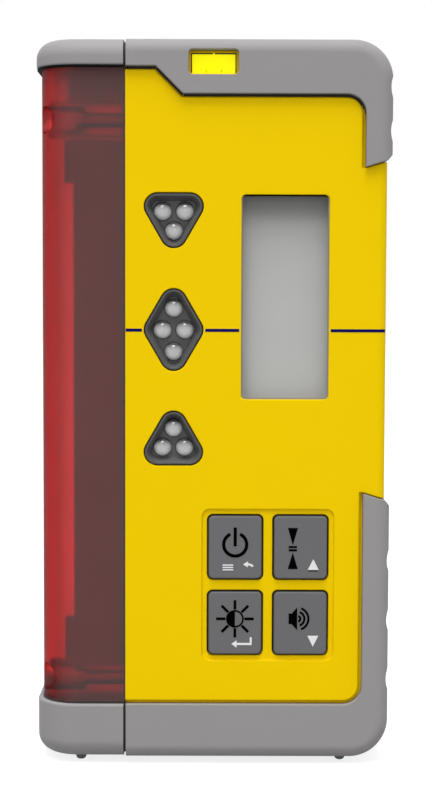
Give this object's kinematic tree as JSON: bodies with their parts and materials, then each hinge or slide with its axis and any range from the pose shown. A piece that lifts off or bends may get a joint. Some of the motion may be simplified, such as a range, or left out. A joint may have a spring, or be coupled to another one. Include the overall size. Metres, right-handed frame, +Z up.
{
  "type": "laser receiver",
  "caption": "Upright laser receiver with a clear sensor window, rubber boots, displays on both faces, grade lights, pressing keys, a level vial and a hinged battery door.",
  "frame": {"origin": "on the floor, under the middle of the bounding box", "axes": "+Z up along the sensor window, the front with the keys faces -Y, the window is at -X"},
  "size_m": [0.0836, 0.036, 0.1705],
  "materials": {
    "yellow_housing": "fine moulded texture",
    "grey_boot": "soft satin",
    "grey_cap": "soft satin",
    "red_window": "clear and polished",
    "dark_seal": "matt",
    "steel": "plain",
    "dark_holder": "matt black moulding",
    "circuit_board": "solder mask",
    "chip_black": "matt",
    "photodiode": "smooth",
    "ribbon": "amber film",
    "bezel": "satin",
    "led": "diffusing",
    "display_lens": "clear",
    "display": "matt grey",
    "display_holder": "white moulding",
    "key_rubber": "soft satin",
    "vial_body": "clear fluorescent",
    "vial_liquid": "liquid",
    "membrane": "vent cloth",
    "thread_brass": "turned",
    "cell": "wrapped can",
    "foot_rubber": "matt"
  },
  "bodies": {
    "housing": {"front_shell": "yellow_housing", "rear_shell": "yellow_housing", "top_boot": "grey_boot", "bottom_boot": "grey_boot", "window_cap_top": "grey_cap", "window_cap_bottom": "grey_cap", "sensor_window": "red_window", "case_seal": "dark_seal", "window_seal": "dark_seal", "keypad_seal": "dark_seal", "case_screws": "steel", "window_screws": "steel", "board_screws": "steel", "rear_board_screws": "steel", "dome_switches": "steel", "battery_contacts": "steel", "battery_door_pin": "steel", "sensor_holder": "dark_holder", "sensor_board": "circuit_board", "main_board": "circuit_board", "rear_display_board": "circuit_board", "board_chips": "chip_black", "buzzer": "chip_black", "photodiodes": "photodiode", "sensor_ribbon": "ribbon", "display_ribbon": "ribbon", "led_bezel_upper": "bezel", "led_bezel_centre": "bezel", "led_bezel_lower": "bezel", "leds_upper": "led", "leds_centre": "led", "leds_lower": "led", "lcd_lens_front": "display_lens", "lcd_lens_rear": "display_lens", "lcd_panel_front": "display", "lcd_panel_rear": "display", "lcd_holder_front": "display_holder", "vial_block": "vial_body", "vial_end_plugs": "vial_body", "vial_fluid": "vial_liquid", "sound_membrane": "membrane", "clamp_insert": "thread_brass", "battery_cell_left": "cell", "battery_cell_right": "cell", "feet": "foot_rubber"},
    "key_power": {"key_power": "key_rubber"},
    "key_deadband": {"key_deadband": "key_rubber"},
    "key_brightness": {"key_brightness": "key_rubber"},
    "key_volume": {"key_volume": "key_rubber"},
    "battery_door": {"battery_door": "yellow_housing", "battery_door_seal": "dark_seal"}
  },
  "joints": [
    {"name": "key_power_press", "type": "slide", "parent": "housing", "child": "key_power", "axis": [0, 1, 0], "range_m": [0, 0.0009], "stiffness_N_per_m": 1500},
    {"name": "key_deadband_press", "type": "slide", "parent": "housing", "child": "key_deadband", "axis": [0, 1, 0], "range_m": [0, 0.0009], "stiffness_N_per_m": 1500},
    {"name": "key_brightness_press", "type": "slide", "parent": "housing", "child": "key_brightness", "axis": [0, 1, 0], "range_m": [0, 0.0009], "stiffness_N_per_m": 1500},
    {"name": "key_volume_press", "type": "slide", "parent": "housing", "child": "key_volume", "axis": [0, 1, 0], "range_m": [0, 0.0009], "stiffness_N_per_m": 1500},
    {"name": "battery_door_hinge", "type": "hinge", "parent": "housing", "child": "battery_door", "pos_m": [0.00745, 0.01565, 0.0243], "axis": [-1, 0, 0], "range_deg": [0, 110]}
  ]
}
